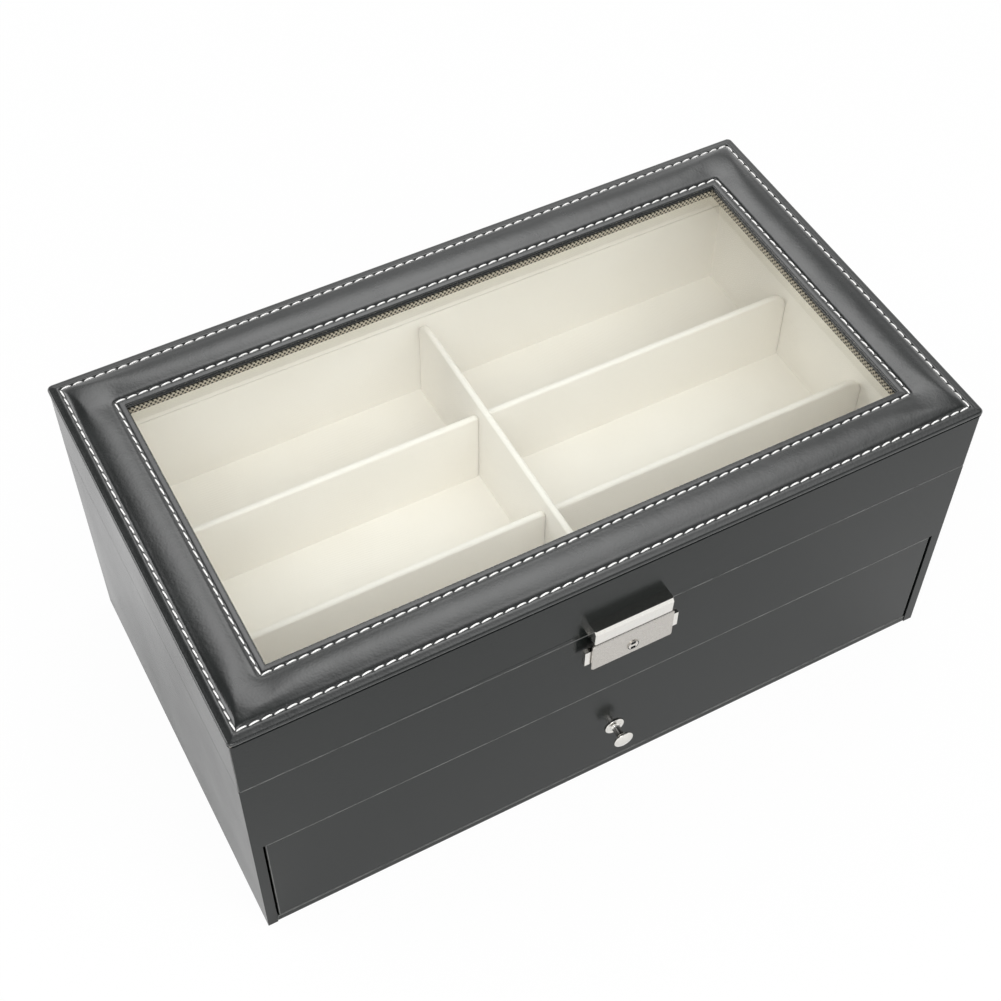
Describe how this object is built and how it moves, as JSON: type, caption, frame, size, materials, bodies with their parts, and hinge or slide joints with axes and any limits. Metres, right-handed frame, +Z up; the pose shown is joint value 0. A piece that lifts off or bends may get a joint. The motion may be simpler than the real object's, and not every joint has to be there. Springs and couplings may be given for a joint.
{
  "type": "eyewear storage box",
  "caption": "Black padded storage box for glasses with a hinged window lid, a divided tray, a drawer with a knob and a press lock.",
  "frame": {"origin": "centre of the underside of the case, where it stands", "axes": "+X to the right seen from the front, +Y to the back with the hinges, +Z up; the lock and knob face -Y"},
  "size_m": [0.335, 0.2012, 0.1525],
  "materials": {
    "leather": "soft satin, fine grain",
    "board": "fibreboard, raw",
    "lining": "short brushed nap",
    "foam": "open cell foam",
    "woven_tape": "woven, matt",
    "glass": "clear, polished",
    "bright_nickel": "polished plating",
    "satin_nickel": "satin plating",
    "steel": "plain, bright"
  },
  "bodies": {
    "case": {"back_panel": "leather", "base_panel": "leather", "front_rail": "leather", "hinge_case_screws": "steel", "hinge_left_case_leaf": "satin_nickel", "hinge_left_pin": "steel", "hinge_right_case_leaf": "satin_nickel", "hinge_right_pin": "steel", "lock_housing": "satin_nickel", "lock_plate": "satin_nickel", "lock_screws": "steel", "lock_springs": "steel", "side_panel_left": "leather", "side_panel_right": "leather", "tray_centre_divider": "lining", "tray_divider_left_front": "lining", "tray_divider_left_rear": "lining", "tray_divider_right_front": "lining", "tray_divider_right_rear": "lining", "tray_floor_lining": "lining", "tray_shelf": "board", "tray_wall_lining": "lining"},
    "lid": {"lid_wall_back": "leather", "lid_wall_front": "leather", "lid_wall_left": "leather", "lid_wall_lining": "lining", "lid_wall_right": "leather", "lid_panel": "board", "window_tape": "woven_tape", "window_glass": "glass", "glass_retainer": "lining", "top_board": "board", "border_foam": "foam", "top_cover": "leather", "hinge_left_lid_leaf": "satin_nickel", "hinge_right_lid_leaf": "satin_nickel", "hinge_lid_screws": "steel", "lid_hasp": "bright_nickel", "hasp_hook": "satin_nickel", "hasp_screws": "steel"},
    "drawer": {"drawer_back": "leather", "drawer_bottom": "board", "drawer_centre_divider": "lining", "drawer_divider_left_front": "lining", "drawer_divider_left_rear": "lining", "drawer_divider_right_front": "lining", "drawer_divider_right_rear": "lining", "drawer_floor_lining": "lining", "drawer_front": "leather", "drawer_knob": "bright_nickel", "drawer_side_left": "leather", "drawer_side_right": "leather", "drawer_wall_lining": "lining", "knob_rosette": "bright_nickel", "knob_screw": "steel"},
    "slider": {"lock_slider": "bright_nickel"},
    "key_cylinder": {"lock_cylinder": "bright_nickel"}
  },
  "joints": [
    {"name": "lid_hinge", "type": "hinge", "parent": "case", "child": "lid", "pos_m": [0, 0.0961, 0.1152], "axis": [-1, 0, 0], "range_deg": [0, 95]},
    {"name": "drawer_slide", "type": "slide", "parent": "case", "child": "drawer", "axis": [0, -1, 0], "range_m": [0, 0.14]},
    {"name": "lock_press", "type": "slide", "parent": "case", "child": "slider", "axis": [0, 0, -1], "range_m": [0, 0.0018], "stiffness_N_per_m": 300, "springref_m": -0.002, "deforming": ["lock_springs"]},
    {"name": "key_turn", "type": "hinge", "parent": "case", "child": "key_cylinder", "pos_m": [0, -0.1003, 0.104], "axis": [0, 1, 0], "range_deg": [0, 90]}
  ]
}
